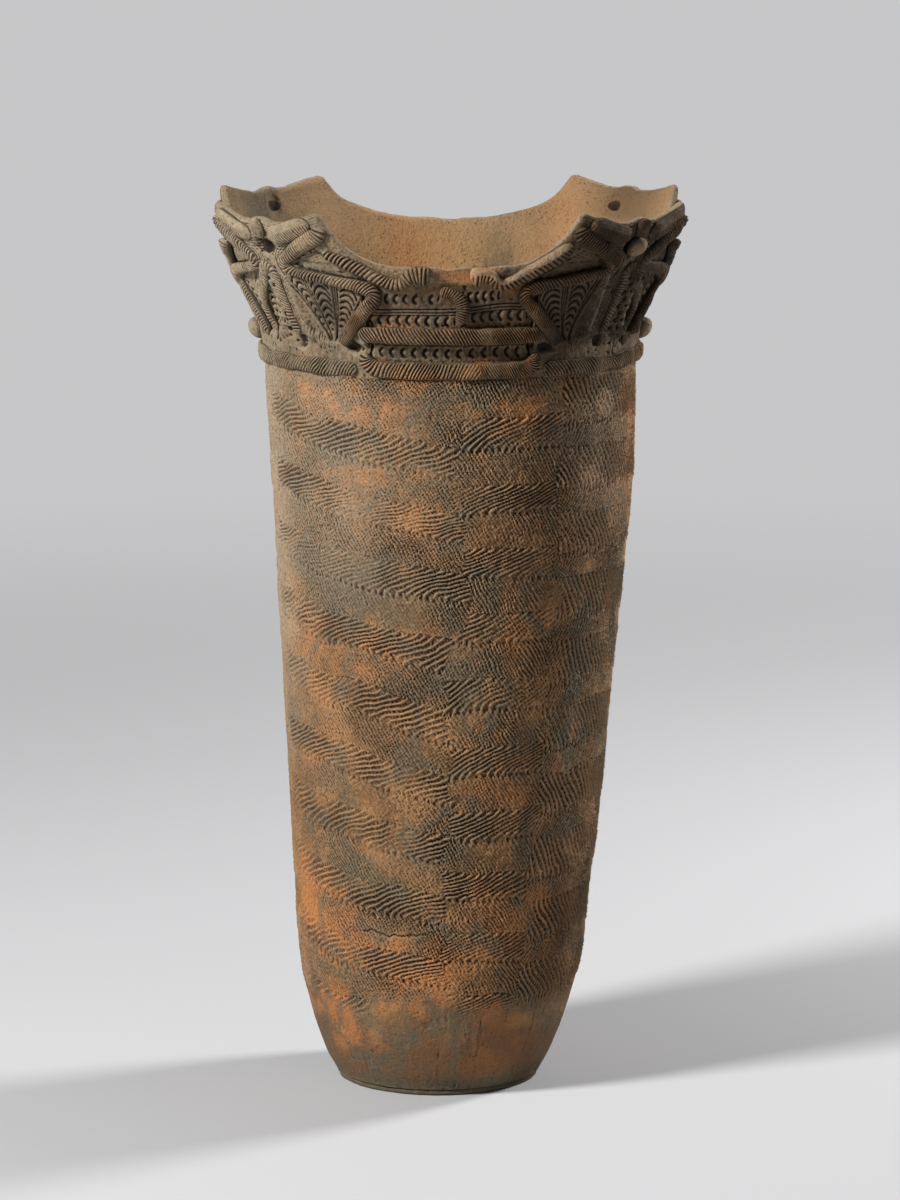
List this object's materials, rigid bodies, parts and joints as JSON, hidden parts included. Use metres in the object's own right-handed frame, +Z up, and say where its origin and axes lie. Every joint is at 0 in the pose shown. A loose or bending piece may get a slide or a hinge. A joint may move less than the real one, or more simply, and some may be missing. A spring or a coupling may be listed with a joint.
{
  "type": "coil-built earthenware jar",
  "caption": "Tall deep jar of fired clay with a flaring collar, fan-shaped rim projections, applied cords and a cord-marked body.",
  "frame": {"origin": "on the floor under the middle of the mouth", "axes": "+Z up along the jar, -Y towards the front panel of the collar, +X to the viewer's right"},
  "size_m": [0.3622, 0.3428, 0.696],
  "materials": {
    "base_clay": "matt, smoothed",
    "body_clay": "matt, cord-marked, fire-clouded",
    "collar_clay": "matt, stamped and incised",
    "cord_clay": "matt, grooved"
  },
  "bodies": {
    "root": {"base_disc": "base_clay", "heel_course": "base_clay", "wall_course_1": "body_clay", "wall_course_2": "body_clay", "wall_course_3": "body_clay", "wall_course_4": "body_clay", "wall_course_5": "body_clay", "wall_course_6": "body_clay", "wall_course_7": "body_clay", "collar_wall": "collar_clay", "fan_front_left": "collar_clay", "fan_front_right": "collar_clay", "fan_back_left": "collar_clay", "fan_back_right": "collar_clay", "zigzag_cord_front_left_inner": "cord_clay", "edge_cord_front_left_inner": "cord_clay", "rim_roll_front_left_inner": "cord_clay", "zigzag_cord_front_left_outer": "cord_clay", "edge_cord_front_left_outer": "cord_clay", "rim_roll_front_left_outer": "cord_clay", "tongue_front_left": "cord_clay", "arch_front_left": "cord_clay", "zigzag_cord_front_right_inner": "cord_clay", "edge_cord_front_right_inner": "cord_clay", "rim_roll_front_right_inner": "cord_clay", "zigzag_cord_front_right_outer": "cord_clay", "edge_cord_front_right_outer": "cord_clay", "rim_roll_front_right_outer": "cord_clay", "tongue_front_right": "cord_clay", "arch_front_right": "cord_clay", "zigzag_cord_back_left_inner": "cord_clay", "edge_cord_back_left_inner": "cord_clay", "rim_roll_back_left_inner": "cord_clay", "zigzag_cord_back_left_outer": "cord_clay", "edge_cord_back_left_outer": "cord_clay", "rim_roll_back_left_outer": "cord_clay", "tongue_back_left": "cord_clay", "arch_back_left": "cord_clay", "zigzag_cord_back_right_inner": "cord_clay", "edge_cord_back_right_inner": "cord_clay", "rim_roll_back_right_inner": "cord_clay", "zigzag_cord_back_right_outer": "cord_clay", "edge_cord_back_right_outer": "cord_clay", "rim_roll_back_right_outer": "cord_clay", "tongue_back_right": "cord_clay", "arch_back_right": "cord_clay", "knob_front_right": "cord_clay", "knob_back_right": "cord_clay", "side_boss_left": "cord_clay", "side_knob_left": "cord_clay", "foot_band_left": "cord_clay", "side_boss_right": "cord_clay", "side_knob_right": "cord_clay", "foot_band_right": "cord_clay", "lower_band_front": "cord_clay", "upper_band_front": "cord_clay", "s_cord_front": "cord_clay", "lower_band_back": "cord_clay", "upper_band_back": "cord_clay", "s_cord_back": "cord_clay"}
  },
  "joints": []
}
